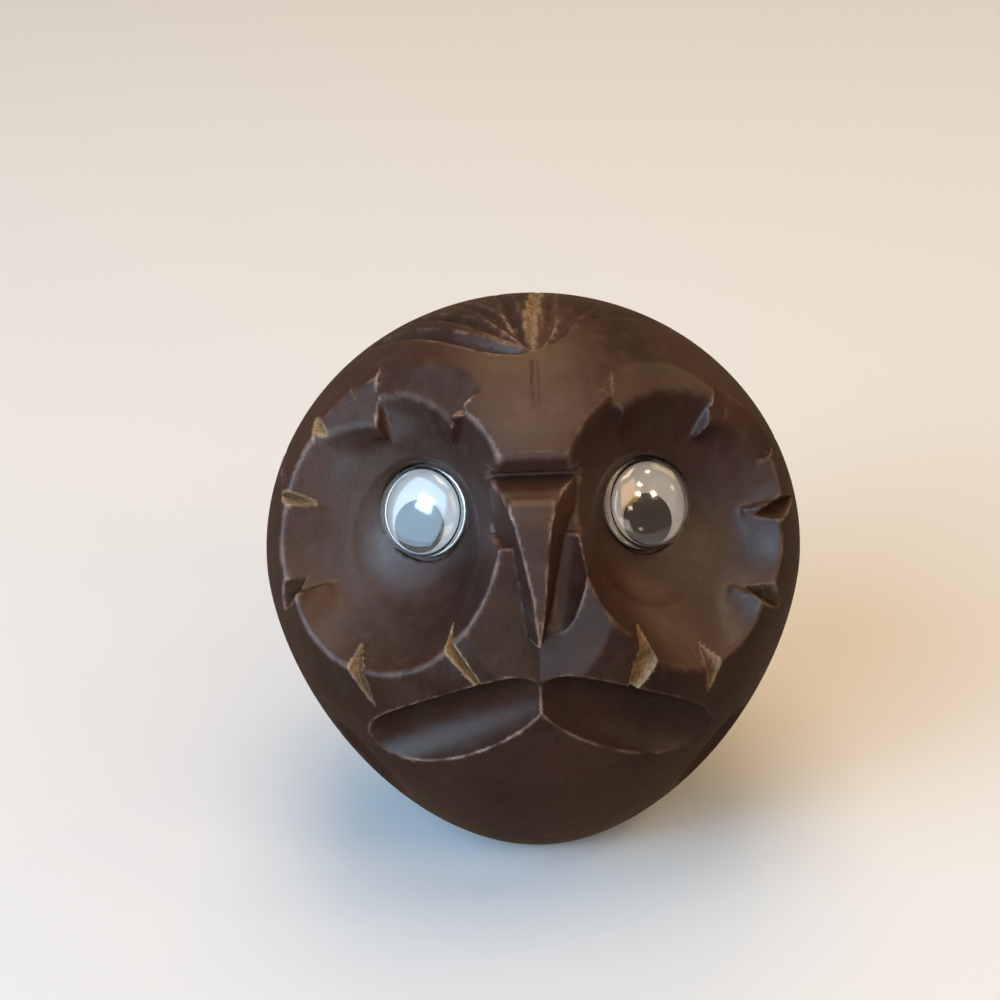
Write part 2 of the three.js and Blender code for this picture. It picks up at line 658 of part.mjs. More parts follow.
const owl = new THREE.Group();
owl.add(meshOf("carved_body", carvedBody(), 0x3b211c, 0.42));
for (const [word, side] of [["left", -1], ["right", 1]]) {
  owl.add(meshOf(`${word}_eye_backing`, eyeDisc(side), 0xf2f0ea, 0.4));
  owl.add(meshOf(`${word}_eye_dome`, eyeDome(side), 0xf4f6f8, 0.06, { transparent: true, opacity: 0.3 }));
}

export default owl;
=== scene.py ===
"""A small carved wooden owl with two round plastic wiggle eyes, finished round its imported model.

The carving is a distance function: an egg with every gouge and V-cut taken out of it by name. It is
meshed on a grid whose cells are finest at the face. Shapes are in millimetres, Blender in metres.
"""

from collections import namedtuple
from math import cos, hypot, pi, radians, sin, sqrt, tan

import bmesh
import bpy
import numpy as np
from mathutils import Matrix, Vector


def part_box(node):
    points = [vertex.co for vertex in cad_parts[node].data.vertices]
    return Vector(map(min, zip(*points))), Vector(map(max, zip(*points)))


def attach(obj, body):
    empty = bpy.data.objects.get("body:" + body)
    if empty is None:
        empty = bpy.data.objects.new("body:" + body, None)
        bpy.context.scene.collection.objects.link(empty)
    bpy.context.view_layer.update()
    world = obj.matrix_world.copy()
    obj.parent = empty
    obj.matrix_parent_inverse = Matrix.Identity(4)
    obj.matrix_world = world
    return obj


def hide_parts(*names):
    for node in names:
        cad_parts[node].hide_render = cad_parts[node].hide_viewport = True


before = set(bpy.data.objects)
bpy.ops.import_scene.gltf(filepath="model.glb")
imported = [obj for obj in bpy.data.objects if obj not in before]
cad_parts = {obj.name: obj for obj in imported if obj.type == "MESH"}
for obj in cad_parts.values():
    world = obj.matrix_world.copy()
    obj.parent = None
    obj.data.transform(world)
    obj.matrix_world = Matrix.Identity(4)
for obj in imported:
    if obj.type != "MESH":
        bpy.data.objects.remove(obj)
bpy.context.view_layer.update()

MM = 0.001
# Keeps a division from failing
TINY = 1e-9
# The left and the right side of the face, as the viewer sees them
SIDES = (-1, 1)

# Camera and stage
CAMERA = {"distance": 330, "elevation": 30, "roll": -2, "target": (-4.4, 0, 50.5), "lens": 85.5}
FLOOR_HALF = 3000
WORLD = {"Color": (1.0, 0.74, 0.50, 1), "Strength": 0.18}
# Each light: yaw and pitch of the way to it, distance, width and height, power, colour
LIGHTS = {
    "window": (-50, 21, 900, (920, 1300), 11.3, (0.51, 0.77, 1.0)),
    "window_sky": (-49, 31, 880, (230, 200), 1.4, (0.58, 0.8, 1.0)),
    "front": (0, 6, 900, (600, 300), 0.9, (1.0, 0.88, 0.84)),
    "above": (0, 86, 900, (450, 450), 2.7, (1.0, 0.72, 0.50)),
    "room": (25, 45, 900, (450, 450), 1.2, (1.0, 0.54, 0.20)),
    "room_side": (110, 35, 900, (450, 450), 1.1, (1.0, 0.66, 0.32)),
    "room_back": (180, 60, 900, (450, 450), 2.0, (1.0, 0.64, 0.31)),
}
# The small lamps that the right eye reflects: what they share, then the yaw, pitch and power of each
LAMP = {"distance": 900, "size": (58, 58), "colour": (1.0, 0.82, 0.55)}
LAMPS = [
    (76, 49, 0.3), (51, 42, 0.2), (44, 35, 0.25), (59, 28, 0.35),
    (28, 27, 0.1), (33, 4, 0.05), (82, 21, 0.05),
]

# The egg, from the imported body: an ellipsoid above its widest level, and below it another curve, which
# would end lower than the flat underside
body_low, body_high = (np.array(corner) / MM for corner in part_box("carved_body"))
EGG_WIDEST = 42.8
EGG_HALF_WIDTH = (body_high[0] - body_low[0]) / 2
EGG_HALF_DEPTH = body_high[1]
EGG_RISE = body_high[2] - EGG_WIDEST
EGG_DROP = 48.6
EGG_MIDDLE = np.array([0, 0, EGG_WIDEST])
RISE_POWER = 2
DROP_POWER = 1.68
FOOT_ROUNDING = 0.6
# Where a line is searched for the point at which it leaves the egg, and in how many halvings
LINE_ENDS = (-30, 80)
LINE_HALVINGS = 50
# How far round a point a distance is sampled for its slope
SLOPE_STEP = 0.02

# The eye dishes. Angles round a rim run from the beak (0) over the top (90) to the outside (180)
RIM = {"across": 19.3, "forward": 19.3, "height": 56.3, "yaw": 39, "pitch": 27}
# The radius of the ball outside which a dish isn't looked at. The other reaches are those of their cuts
DISH_REACH = 27
# The level, inside the egg, from which a place in a rim plane is carried out to the egg
INSIDE_LEVEL = -12
# A dish's floor: radius at the rim plane, depth, how far out it is left plain, how softly its apron
# of scallops meets it
BOWL = {"radius": 22.5, "depth": 7.6, "plain": 12.5, "blend": 5.0}
# What roughly turns a distance across the sloping apron into a distance from it
APRON_SCALE = 0.7
# How many degrees the step from one scallop to the next takes
TOOTH_RAMP = 2.6
# Deep in the dish the scallops fade into an even outline, which is theirs averaged over so many degrees
# either way: how far up from the plain floor to the rim plane they are full and where they are gone
EVEN_RIM = {"spread": 35, "full": 0.56, "gone": 0.2}
# Each scallop of a rim: from angle and radius, to angle and radius, bulge between them
SCALLOPS = {
    -1: [
        (24, 18.8, 72, 22.6, 1.1),
        (72, 18.3, 117, 27.0, -0.3),
        (117, 16.1, 149, 20.4, 0.1),
        (149, 20.5, 177, 18.6, -0.2),
        (177, 17.0, 223, 17.9, 0.6),
        (223, 15.2, 268, 18.9, 1.3),
        (268, 18.5, 327, 16.9, 0.0),
        (327, 16.7, 24, 18.4, 0.2),
    ],
    1: [
        (22, 19.0, 80, 22.9, 0.9),
        (80, 18.9, 131, 20.0, 1.6),
        (131, 15.0, 187, 16.2, 4.6),
        (187, 14.4, 236, 15.2, 1.0),
        (236, 14.4, 281, 21.2, 0.3),
        (281, 20.8, 324, 16.7, -0.3),
        (324, 16.2, 22, 17.8, -0.2),
    ],
}
# Each V-cut across a rim: outer end on the egg (angle and radius), inner end on the dish wall
# (angle, radius and level), width, how bare its wood is
NOTCHES = {
    -1: [
        (80, 21.6, 71, 19.8, -0.7, 1.1, 0.1),
        (129, 21.8, 124, 18.6, -1.0, 0.9, 0.1),
        (148, 21.6, 146, 18.0, -1.2, 1.7, 0.8),
        (179, 19.7, 178, 15.8, -2.4, 1.7, 0.6),
        (224, 21.1, 219, 17.2, -2.4, 1.9, 0.1),
        (276, 22.3, 265, 15.4, -2.4, 1.8, 0.7),
        (320.5, 24.4, 327, 13.7, -2.4, 1.15, 0.9),
    ],
    1: [
        (86, 22.4, 80, 19.4, -0.7, 1.1, 0.4),
        (138, 19.6, 141, 17.6, -1.4, 1.1, 0.1),
        (188, 22.0, 191, 15.7, -2.4, 1.9, 0.1),
        (232, 20.1, 233, 14.6, -1.9, 2.3, 0.2),
        (275, 22.0, 275, 14.2, -2.0, 2.4, 0.6),
        (308.5, 23.9, 316, 12.8, -3.0, 2.7, 0.8),
    ],
}
# How far the bottom of a V-cut bends inwards, and how far past its ends it may reach
NOTCH_SAG = 0.3
NOTCH_PAST = 3

# The facets pared off the upper rims: two ends of the crease on the egg and the place of the new rim
# (angles and radii), how deep the paring is there, the angles that it runs between
PARINGS = {
    -1: [
        (121, 23.3, 103, 22.9, 110, 20.0, 1.15, 103, 117),
        (103, 22.9, 87, 23.8, 90, 20.0, 1.15, 74, 103),
        (145, 20.0, 125, 21.4, 131, 17.0, 2.2, 117, 150),
    ],
    1: [
        (87, 22.3, 114, 21.5, 100, 19.3, 1.2, 79, 131),
        (131, 20.4, 158, 21.0, 145, 17.0, 2.1, 131, 168),
    ],
}
PARING_REACH = 10

# The steeper hollow round each eye, and the eye in its bore. Heights on an eye's axis are from the
# middle of the dish floor
EYE = {"across": {-1: 14.9, 1: 15.4}, "forward": 12.8, "height": 56.5, "yaw": 28, "pitch": 29}
HOLLOW = {"yaw": 25, "pitch": 29, "out": 11.6, "inwards": 1.0, "half": (10.8, 14, 11.8), "blend": 6}
BORE = {"radius": 6.6, "depth": 2.3, "height": 9, "reach": 12}
BACKING_TOP = -1.2
DOME = {"radius": 6, "low": -0.9, "shoulder": 0.2, "crown": 1.9, "wall": 0.3}
# The pupil lies a little above the backing and clear of the dome's wall, below and beside the middle
PUPIL = {"radius": 3.55, "thickness": 0.35, "edge": 0.08, "aside": 0.35, "above": 0.06, "clear": 0.05}
# Facets round a dome and a pupil, steps from a dome's crown to its shoulder, angles of their creases
DOME_SIDES, PUPIL_SIDES, CROWN_STEPS = 72, 64, 20
DOME_CREASE, PUPIL_CREASE = 50, 30

# Brow, beak and cheeks
# The brow's underside slopes back from its edge on the egg to a slot above the beak: depth (y) and level
BROW = {"edge": (-22.56, 69.6), "back": (-21.6, 66.7), "half_width": 7.4, "worn": 0.9, "reach": 13}
SLOT = {"back": -20, "top": 66.6, "foot": 65.3, "blend": 1.0}
# How far the beak stands out of the egg, and its lowest and highest level
BEAK_PROUD = 0.35
BEAK_FOOT, BEAK_TOP = 48.2, 65.6
# Where the slanted face between the beak's top and its front starts
BEAK_BEVEL = 63.9
# Levels of the beak from tip to top: height, half widths and flares of its left and right side
BEAK_LEVELS = np.array(
    [
        (48.2, 0.25, 0.25, 27, 14),
        (54.3, 0.8, 1.1, 27, 14),
        (59.3, 1.9, 1.6, 27, 20),
        (62.5, 2.7, 2.1, 27, 27),
        (66.4, 3.6, 2.7, 27, 27),
    ]
)
# How softly the faces of the beak and of its ridge meet
BEAK_BLEND = {"top": 0.35, "bevel": 0.8, "side": 0.2, "ridge": 0.8}
# The ridge that the beak stands on
RIDGE = {"half": 4.8, "flare": 8, "depth": 14}
# The ball in which the beak and its ridge are made
BEAK_MIDDLE = np.array([0, -29, 57])
BEAK_REACH = 13
CHEEK = {"apex": (4.62, -28.44, 59.61), "outer": (8.35, -31.6, 51.5), "inner": (0.7, -31.6, 47.3)}
# The upright limits of a cheek facet, and how far out from the middle it reaches at each
CHEEK_TOP, CHEEK_FOOT = (66.4, 6.0), (39, 12.6)
CHEEK_REACH = 22
# How far behind the egg's front the wood beside the beak is cleared above a cheek's apex
BEAK_SIDE_DEPTH = 6
# The gouge down the right side of the beak: ends of its middle line on the egg, half width and depth
CHANNEL = {"top": (4.9, 66), "foot": (2.2, 48.4), "half_width": 2.9, "depth": 3.6}

# The pair of scoops under the face, which leave a ridge between them and a lip above
SCOOP = {"across": 12.5, "forward": 30.6, "height": 34.1, "yaw": 28, "pitch": -38, "out": 0.9}
SCOOP_ALONG = (0.8, 0.36, -0.52)
SCOOP_HALF = (20.5, 5.4, 5.2)

# Surface cuts are V-shaped and follow the egg. Crown flutes fan out from the forehead
CROWN_APEX = (0.6, -8.5)
# Each flute: heading at its start and at its end (degrees from straight back, positive to the right),
# where it starts and ends, width, depth, how bare its wood is
CROWN_FLUTES = [
    (-8, 3, 0.4, 24, 1.5, 0.6, 0.7),
    (-32, -11, 0.6, 24, 2.2, 0.85, 0),
    (-33, -28, 2.5, 22, 2.0, 0.65, 0),
    (-46, -42, 3, 27, 2.2, 0.75, 0),
    (-88, -55, 0.8, 28, 2.7, 1.0, 0),
    (40, 9, 0.6, 22, 1.8, 0.75, 0.1),
    (52, 31, 2.5, 17, 2.0, 0.5, 0),
    (36, 44, 9, 26, 2.0, 0.4, 0),
    (176, 179, 0.3, 9, 1.2, 0.2, 0),
]
# The neck line: heights at its front ends and at the middle of the back
NECK = {"start_yaw": 79, "side": 57.6, "back": 50, "width": 2.2, "depth": 0.85}
# The wing's lower front edge, a wide cut, and the wing's outline and feathers
WING_CUT = {"yaw": 55, "pitch": -39, "out": 3.1, "lean": 0.2, "half": (12.5, 6.2, 5)}
WING = {"front_yaw": 74, "rear_yaw": 150, "top": 52, "tip_yaw": 118, "tip": 13, "width": 2.4, "depth": 0.9}
WING_FEATHERS = 3
# The feather cuts beside a wing's rear edge: how much lower they start, how their tops fall and their
# tips rise towards the front, their width and depth as shares of the edge's
FEATHER = {"lower": 9, "fall": 6, "rise": 2, "width": 0.8, "depth": 0.7}
# The tail's cuts spread to this yaw either side at the foot, and to a share of it at the top
TAIL = {"spread": 19, "top_share": 0.45, "top": 23, "foot": 3, "width": 2.2, "depth": 0.8}
TAIL_CUTS = 3
PATH_STEPS = 40
# How full a surface cut is at its very ends, and how fast it fills from there
END_FULLNESS, END_FILLING = 0.06, 2.2

# How far the worn edges of each kind of cut are rounded, as the size of the blend
RIM_WEAR = 0.7
FACET_WEAR = 0.25
CUT_WEAR = 0.15
# How close to a cut's own surface the wood takes on its bareness
BARE_MARGIN = 0.08

# The grid: its cell at the front, how much wider the cells get towards the back, where it starts
CELL = 0.3
SPREAD = 1.0
GRID_FRONT, GRID_BACK = -36.0, 36.0
GRID_RATE = CELL * SPREAD / (GRID_BACK - GRID_FRONT)
GRID_CELLS = np.array([184, 168, 208])
GRID_LOW = np.array([-0.5 * GRID_CELLS[0] * CELL, 0, -33.4])
# How many grid points apart the carving is sampled first, and within how many such steps of its surface
# it is sampled again at half the step
COARSEST = 8
BAND = 3.4
# How often the place where the surface crosses a grid edge is bettered
CROSSING_ROUNDS = 3
# How strongly a corner is held to the middle of its cell's crossings
CORNER_HOLD = 0.04
CREASE_ANGLE = 42
# How many triangles the even parts of the carving are thinned down to
MOST_TRIANGLES = 190000

# Where edges show wear, and on the left a painted highlight: how far round a corner and in how many
# directions they are looked for, how sharp the least worn are and how much sharper the most worn
WEAR_SAMPLE, WEAR_SAMPLES = 0.35, 6
WEAR_FROM, WEAR_RANGE = 0.06, 0.22
# Edges are palest on the left, a painted highlight of the window light, and fade to their least share
# towards the right: where they get there (x), and over what width
HIGHLIGHT_RIGHT, HIGHLIGHT_FADE = 10, 14
LEAST_WEAR_AND_HIGHLIGHT = 0.35
# Beyond this distance from the middle, wear fades from this depth under the egg and its parings, and at
# twice the depth it is gone
WEAR_FACE, WEAR_DEPTH = 9, 0.5
# How steep a normal is where its sideways directions are taken from X instead of Z
STEEP = 0.8
# From where to where (y) the wear fades towards the back
WEAR_BEHIND = (-5, 3)

# The wood's noises: how fine, how detailed and how rough
WOOD_NOISES = {"broad": (55, 3, 0.5), "patches": (90, 5, 0.6), "mottle": (420, 4, 0.5)}
GRAIN_NOISE = (2600, 4, 0.6)
GRAIN_STRETCH = (1, 1, 0.1)
# The stain: its darkest colour, and what shows over it. Each layer has its noise, the values of the
# noise between which it comes in, how strong it gets and its colour
STAIN = (0.024, 0.0094, 0.0070, 1)
STAIN_LAYERS = [
    ("broad", 0.35, 0.65, 1, (0.058, 0.0240, 0.0168, 1)),
    ("patches", 0.48, 0.66, 0.6, (0.050, 0.030, 0.016, 1)),
    ("grain", 0.52, 0.72, 0.55, (0.013, 0.0055, 0.004, 1)),
    ("mottle", 0.55, 0.8, 0.35, (0.085, 0.046, 0.035, 1)),
]
# The ranges below turn a low and a high value into two new ones
# The pale colour of worn edges, which on the left also stands for a painted highlight of the window light
RUBBED_AND_HIGHLIT_COLOUR = (0.34, 0.22, 0.18, 1)
RUBBED_AND_HIGHLIT_MOTTLE = (0.4, 0.6, 0.1, 1)
BARE_COLOUR = (0.42, 0.30, 0.16, 1)
BARE_GRAIN_COLOUR = (0.20, 0.12, 0.06, 1)
BARE_GRAIN = (0.35, 0.65, 0, 1)
BARE_MOTTLE = (0.3, 0.55, 0.45, 1)
# How rough the wood's finish is, and how much rougher where it is bare
WOOD_ROUGHNESS = (0.3, 0.7, 0.36, 0.5)
BARE_ROUGHNESS = (0, 1, 0, 0.25)
# How each noise raises the wood
WOOD_RELIEF = {"grain": (0, 1, 0.12, 0), "mottle": (0, 1, 0, 0.2), "patches": (0.2, 0.8, 0, 0.65)}
WOOD_BUMP = {"Strength": 0.4, "Distance": 0.0004}

# The plastics: two shades of each plain one and its roughness, and the haze that varies them
WHITE = ((0.80, 0.79, 0.75, 1), (0.86, 0.86, 0.84, 1), 0.3)
BLACK = ((0.008, 0.008, 0.009, 1), (0.014, 0.014, 0.015, 1), 0.55)
HAZE_NOISE = (900, 3, 0.5)
HAZE_COLOUR = (0.35, 0.7, 0, 1)
HAZE_ROUGHNESS = (0.3, 0.7)
HAZE_ROUGHER = 0.08
CLEAR_PLASTIC = {
    "Base Color": (0.97, 0.98, 1.0, 1),
    "Transmission Weight": 1.0,
    "IOR": 1.49,
    "Roughness": 0.02,
    "Coat Weight": 0.6,
    "Coat IOR": 1.7,
    "Coat Roughness": 0.12,
}
PALE_FLOOR = {"Base Color": (0.78, 0.85, 0.93, 1), "Roughness": 0.9}

# Corners of a turned shape closer than this, in metres, are one corner
SAME_CORNER = 1e-7


# Vectors


def unit(v):
    return np.asarray(v, float) / np.linalg.norm(v)


def direction(yaw, pitch):
    """A direction given by its yaw from straight ahead (-Y), positive to +X, and its pitch."""
    yaw, pitch = radians(yaw), radians(pitch)
    level = cos(pitch)
    return np.array([sin(yaw) * level, -cos(yaw) * level, sin(pitch)])


def square_to(axis, v):
    """The direction that is nearest to another one and square to an axis."""
    return unit(v - axis * (v @ axis))


def axes_of(outward):
    """Right, up and outward, as rows, of the plane that faces along a direction."""
    right = unit(np.cross((0, 0, 1), outward))
    return np.array([right, np.cross(outward, right), outward])


def larger(a, b, soft):
    """The larger of two distances, blended where they are about the same."""
    near = np.maximum(soft - np.abs(a - b), 0) / soft
    return np.maximum(a, b) + near * near * soft / 4


def smaller(a, b, soft):
    return -larger(-a, -b, soft)


# Distances to simple solids: below zero inside


def egg(p):
    above = p[:, 2] > EGG_WIDEST
    power = np.where(above, RISE_POWER, DROP_POWER)
    height = np.where(above, EGG_RISE, EGG_DROP)
    along = np.abs(p[:, 2] - EGG_WIDEST) / height + TINY
    x, y = p[:, 0] / EGG_HALF_WIDTH, p[:, 1] / EGG_HALF_DEPTH
    across = np.hypot(x, y) + TINY
    across_less, along_less = across ** (power - 2), along ** (power - 1)
    value = across_less * across * across + along_less * along - 1
    slope = power * np.sqrt(
        (across_less * x / EGG_HALF_WIDTH) ** 2
        + (across_less * y / EGG_HALF_DEPTH) ** 2
        + (along_less / height) ** 2
    )
    return value / np.maximum(slope, TINY)


def ball(p, centre, radius):
    return np.sqrt(((p - centre) ** 2).sum(1)) - radius


def ellipsoid(p, centre, axes, half):
    q = (p - centre) @ np.asarray(axes).T
    near = np.sqrt(((q / half) ** 2).sum(1)) + TINY
    far = np.sqrt(((q / np.square(half)) ** 2).sum(1)) + TINY
    return near * (near - 1) / far


def wheel(p, centre, axis, radius, half_width):
    """A disc with a sharp edge, thickest at its middle."""
    q = p - centre
    aside = q @ axis
    out = np.sqrt(np.maximum((q * q).sum(1) - aside * aside, 0))
    over = np.abs(aside) * radius + out * half_width - radius * half_width
    return over / hypot(radius, half_width)


def rod(p, centre, axis, radius, low, high):
    q = p - centre
    height = q @ axis
    out = np.sqrt(np.maximum((q * q).sum(1) - height * height, 0))
    return np.maximum(out - radius, np.maximum(low - height, height - high))


# Places on the egg


def egg_share(z):
    """How far round an upright section of the egg a level lies: 1 where it is widest."""
    above = z > EGG_WIDEST
    power = np.where(above, RISE_POWER, DROP_POWER)
    along = np.abs(z - EGG_WIDEST) / np.where(above, EGG_RISE, EGG_DROP)
    return np.maximum(1 - along**power, 0) ** (1 / power)


def egg_at(yaw, z):
    """The point of the egg at a height, on the side that a yaw points to."""
    share = float(egg_share(z))
    x = sin(radians(yaw)) * EGG_HALF_WIDTH * share
    return np.array([x, -cos(radians(yaw)) * EGG_HALF_DEPTH * share, z])


def leave_egg(start, along):
    """Where a line from a point inside, or a little outside, leaves the egg."""
    low, high = LINE_ENDS
    for _ in range(LINE_HALVINGS):
        middle = (low + high) / 2
        if egg((start + along * middle)[None])[0] < 0:
            low = middle
        else:
            high = middle
    return start + along * low


def slope_of(distance, p):
    """The direction in which a distance grows, from four samples round each point."""
    corners = np.array([(1, -1, -1), (-1, -1, 1), (-1, 1, -1), (1, 1, 1)], float)
    total = sum(corner * distance(p + corner * SLOPE_STEP)[:, None] for corner in corners)
    return total / np.maximum(np.linalg.norm(total, axis=1, keepdims=True), TINY)


def egg_normal(p):
    return slope_of(egg, p[None])[0]


# Cuts

# A shape taken out of the wood: its distance function, the ball round it, the rounding of its edges
# and how bare of stain its wood is
Cut = namedtuple("Cut", "distance centre reach worn bare")


def gouge(centre, along, out, half):
    axes = [along, np.cross(out, along), out]
    half = np.array(half, float)
    return Cut(lambda p: ellipsoid(p, centre, axes, half), centre, half.max(), FACET_WEAR, 0.0)


class Dish:
    """One eye dish: where it is, its axes and the points of its rim plane."""

    def __init__(self, side):
        self.side = side
        self.right, self.up, self.out = axes_of(direction(side * RIM["yaw"], RIM["pitch"]))
        self.centre = np.array([side * RIM["across"], -RIM["forward"], RIM["height"]])

    def at(self, angle, radius, level=0.0):
        angle = radians(angle)
        aside = self.right * (-self.side * cos(angle) * radius)
        return self.centre + aside + self.up * (sin(angle) * radius) + self.out * level


def rim_radius(side, angle):
    """Radius of a dish's scalloped outline in the rim plane at angles round its axis."""
    radius = np.zeros(len(angle))
    for start, start_radius, end, end_radius, bulge in SCALLOPS[side]:
        half = (end - start) % 360 / 2
        turn = (angle - start - half + 180) % 360 - 180
        share = np.clip(turn / half / 2 + 0.5, 0, 1)
        here = start_radius + (end_radius - start_radius) * share + 4 * bulge * share * (1 - share)
        radius += here * np.clip((half - np.abs(turn)) / TOOTH_RAMP + 0.5, 0, 1)
    return radius


def sector(dish, p, from_angle, to_angle):
    """Distance outside the part of a dish between two angles round its axis."""
    q = p - dish.centre
    outside = (q @ (dish.at(angle, 1) - dish.centre) for angle in (from_angle - 90, to_angle + 90))
    return np.maximum(*outside)


def eye_centre(side):
    return np.array([side * EYE["across"][side], -EYE["forward"], EYE["height"]])


def dish_cut(dish):
    whole = (BOWL["radius"] ** 2 + BOWL["depth"] ** 2) / (2 * BOWL["depth"])
    bowl_centre = dish.centre + dish.out * (whole - BOWL["depth"])
    plain_depth = sqrt(whole**2 - BOWL["plain"] ** 2) - whole + BOWL["depth"]
    hollow_axes = axes_of(direction(dish.side * HOLLOW["yaw"], HOLLOW["pitch"]))
    hollow_centre = (
        eye_centre(dish.side) + hollow_axes[2] * HOLLOW["out"] - dish.right * dish.side * HOLLOW["inwards"]
    )

    turns = np.arange(360)
    rim = rim_radius(dish.side, turns)
    spread = EVEN_RIM["spread"]
    even_rim = sum(np.roll(rim, i) for i in range(-spread, spread + 1)) / (2 * spread + 1)

    def distance(p):
        hollow = ellipsoid(p, hollow_centre, hollow_axes, HOLLOW["half"])
        floor = smaller(ball(p, bowl_centre, whole), hollow, HOLLOW["blend"])
        q = p - dish.centre
        across, up, level = -dish.side * (q @ dish.right), q @ dish.up, q @ dish.out
        turn = np.degrees(np.arctan2(up, across))
        outline, even = rim_radius(dish.side, turn), np.interp(turn, turns, even_rim, period=360)
        rise = np.maximum(1 + level / plain_depth, 0)
        share = np.clip((rise - EVEN_RIM["gone"]) / (EVEN_RIM["full"] - EVEN_RIM["gone"]), 0, 1)
        outline = even + (outline - even) * share**2 * (3 - 2 * share)
        apron = np.hypot(across, up) - BOWL["plain"] - (outline - BOWL["plain"]) * rise
        return larger(floor, apron * APRON_SCALE, BOWL["blend"])

    return Cut(distance, dish.centre, DISH_REACH, RIM_WEAR, 0.0)


def on_egg(dish, angle, radius):
    """The egg's point over a place in a dish's rim plane."""
    return leave_egg(dish.at(angle, radius, INSIDE_LEVEL), dish.out)


def notch_cut(dish, out_angle, out_radius, in_angle, in_radius, in_level, width, bare):
    """A V-cut across the rim: a wheel with a sharp edge, sunk so that its edge is the cut's bottom."""
    start, end = on_egg(dish, out_angle, out_radius), dish.at(in_angle, in_radius, in_level)
    middle = (start + end) / 2
    along = unit(end - start)
    outwards = square_to(along, dish.out)
    half_length = np.linalg.norm(end - start) / 2
    radius = (half_length**2 + NOTCH_SAG**2) / (2 * NOTCH_SAG)
    centre = middle + outwards * (radius - NOTCH_SAG)
    depth = NOTCH_SAG - egg(middle[None])[0]
    wall = width / 2 / depth * radius
    axis = unit(np.cross(outwards, along))
    reach = half_length + NOTCH_PAST
    return Cut(lambda p: wheel(p, centre, axis, radius, wall), middle, reach, CUT_WEAR, bare)


def plane_through(first, second, third):
    """A plane's point and its normal, which faces out of the egg."""
    normal = unit(np.cross(second - first, third - first))
    return first, normal if normal @ (first - EGG_MIDDLE) > 0 else -normal


def paring_cut(dish, from_angle, from_radius, to_angle, to_radius, new_angle, new_radius, depth, low, high):
    """A flat facet over the rim of a dish, between two angles round it."""
    start, end = on_egg(dish, from_angle, from_radius), on_egg(dish, to_angle, to_radius)
    rim = on_egg(dish, new_angle, new_radius)
    place, normal = plane_through(start, end, rim - egg_normal(rim) * depth)

    def distance(p):
        return np.maximum((place - p) @ normal, sector(dish, p, low, high))

    return Cut(distance, rim, PARING_REACH, CUT_WEAR, 0.0)


def brow_cut():
    """The rounded underside of the brow and the slot between it and the beak."""
    (edge_y, edge_z), (back_y, back_z) = BROW["edge"], BROW["back"]
    edge = np.array([0, edge_y, edge_z])
    outward = unit((0, back_z - edge_z, edge_y - back_y))

    def distance(p):
        y, z = p[:, 1], p[:, 2]
        slot = np.maximum(z - SLOT["top"], y - SLOT["back"])
        opening = smaller((edge - p) @ outward, slot, SLOT["blend"])
        return np.maximum(opening, np.maximum(SLOT["foot"] - z, np.abs(p[:, 0]) - BROW["half_width"]))

    return Cut(distance, edge, BROW["reach"], BROW["worn"], 0.0)


def beak_side(p, side):
    """Distance outside one side face of the beak."""
    z = p[:, 2]
    which = 0 if side < 0 else 1
    half = np.interp(z, BEAK_LEVELS[:, 0], BEAK_LEVELS[:, 1 + which])
    flare = np.radians(np.interp(z, BEAK_LEVELS[:, 0], BEAK_LEVELS[:, 3 + which]))
    back = p[:, 1] + EGG_HALF_DEPTH * egg_share(z)
    return (side * p[:, 0] - half - back * np.tan(flare)) * np.cos(flare)


def cheek_cut(side):
    """All that stands beside the beak in front of a plane through three points, or above its apex."""
    points = [np.array(CHEEK[name]) * (side, 1, 1) for name in ("apex", "outer", "inner")]
    apex, normal = plane_through(*points)
    (top, top_reach), (foot, foot_reach) = CHEEK_TOP, CHEEK_FOOT
    widening = (foot_reach - top_reach) / (top - foot)

    def distance(p):
        z = p[:, 2]
        beside = np.minimum(-beak_side(p, side), np.maximum(z - BEAK_FOOT, -side * p[:, 0]))
        outside = np.maximum(side * p[:, 0] - top_reach - widening * (top - z), beside)
        outside = np.maximum(outside, np.maximum(z - top, foot - z))
        back = p[:, 1] + EGG_HALF_DEPTH * egg_share(z)
        above = np.maximum(apex[2] - z, back - BEAK_SIDE_DEPTH)
        return np.maximum(np.minimum((apex - p) @ normal, above), outside)

    return Cut(distance, sum(points) / 3, CHEEK_REACH, CUT_WEAR, 0.0)


def channel_cut():
    """The long gouge down the right side of the beak."""
    ahead = np.array([0, -1, 0])
    top, foot = (leave_egg(np.array([x, 0, z]), ahead) for x, z in (CHANNEL["top"], CHANNEL["foot"]))
    middle = (top + foot) / 2
    along = unit(top - foot)
    out = square_to(along, egg_normal(middle))
    half = (np.linalg.norm(top - foot) / 2, CHANNEL["half_width"], CHANNEL["depth"])
    return gouge(middle, along, out, half)


def scoop_cut(side):
    """One of the pair of scoops under the face."""
    along = unit(np.array(SCOOP_ALONG) * (side, 1, 1))
    out = square_to(along, direction(side * SCOOP["yaw"], SCOOP["pitch"]))
    place = np.array([side * SCOOP["across"], -SCOOP["forward"], SCOOP["height"]]) + out * SCOOP["out"]
    return gouge(place, along, out, SCOOP_HALF)


def wing_front_cut(side):
    """The wide cut below the front edge of a wing."""
    place = leave_egg(EGG_MIDDLE, direction(side * WING_CUT["yaw"], WING_CUT["pitch"]))
    out = egg_normal(place)
    upwards = np.array([side * WING_CUT["lean"], WING_CUT["lean"], 1])
    return gouge(place + out * WING_CUT["out"], square_to(out, upwards), out, WING_CUT["half"])


